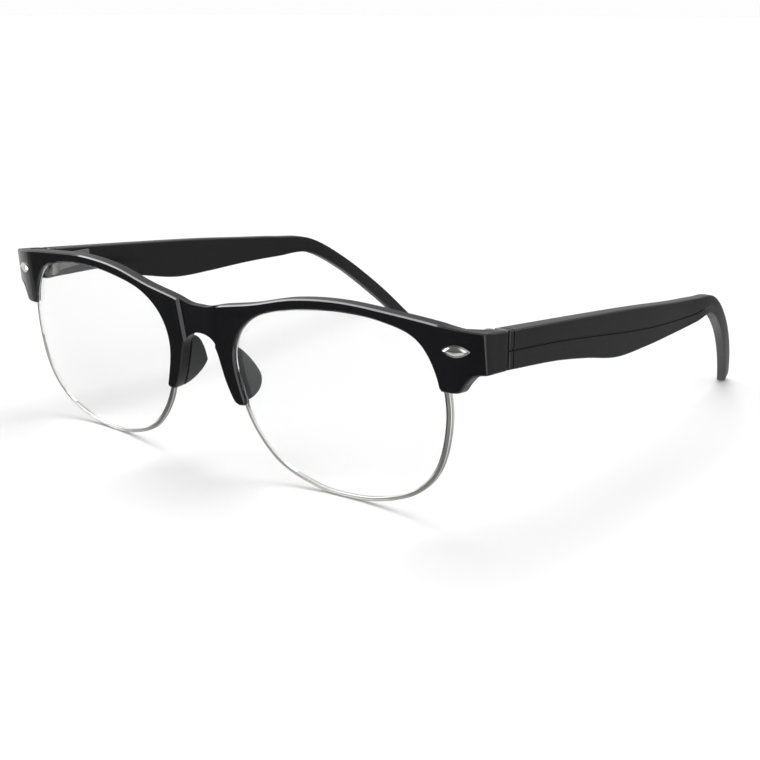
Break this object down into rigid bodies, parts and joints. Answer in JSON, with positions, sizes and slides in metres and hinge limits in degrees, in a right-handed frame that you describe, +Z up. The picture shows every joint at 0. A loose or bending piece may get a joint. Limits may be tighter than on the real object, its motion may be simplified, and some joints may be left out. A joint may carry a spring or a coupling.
{
  "type": "half rim eyeglasses",
  "caption": "Half rim browline eyeglasses: black front with wire rims, clear lenses, nose pads, almond studs and folding temples.",
  "frame": {"origin": "centre of the standing glasses' bounding box in plan, on the table plane that the rims' undersides and the temple tips touch", "axes": "+Z up, -Y the way the wearer looks, +X towards the wearer's left"},
  "size_m": [0.1398, 0.141, 0.0418],
  "materials": {
    "front_plastic": "polished black",
    "temple_plastic": "polished black",
    "pad_plastic": "satin black",
    "rim_metal": "silver, soft polish",
    "stud_metal": "bright silver",
    "hinge_metal": "satin steel",
    "lens_clear": "clear, no tint"
  },
  "bodies": {
    "front": {"front_frame": "front_plastic", "lens_left": "lens_clear", "lens_right": "lens_clear", "rim_wire_left": "rim_metal", "rim_wire_right": "rim_metal", "nose_pad_left": "pad_plastic", "nose_pad_right": "pad_plastic", "end_stud_left": "stud_metal", "end_stud_right": "stud_metal", "hinge_front_leaf_left": "hinge_metal", "hinge_front_leaf_right": "hinge_metal", "hinge_screw_left": "hinge_metal", "hinge_screw_right": "hinge_metal"},
    "temple_left": {"temple_left": "temple_plastic", "hinge_temple_leaf_left": "hinge_metal", "leaf_rivet_left_1": "hinge_metal", "leaf_rivet_left_2": "hinge_metal"},
    "temple_right": {"temple_right": "temple_plastic", "hinge_temple_leaf_right": "hinge_metal", "leaf_rivet_right_1": "hinge_metal", "leaf_rivet_right_2": "hinge_metal"}
  },
  "joints": [
    {"name": "temple_left_fold", "type": "hinge", "parent": "front", "child": "temple_left", "pos_m": [0.06505, -0.05636, 0.03469], "axis": [0, 0, 1], "range_deg": [0, 85]},
    {"name": "temple_right_fold", "type": "hinge", "parent": "front", "child": "temple_right", "pos_m": [-0.06505, -0.05636, 0.03469], "axis": [0, 0, -1], "range_deg": [0, 77]}
  ]
}
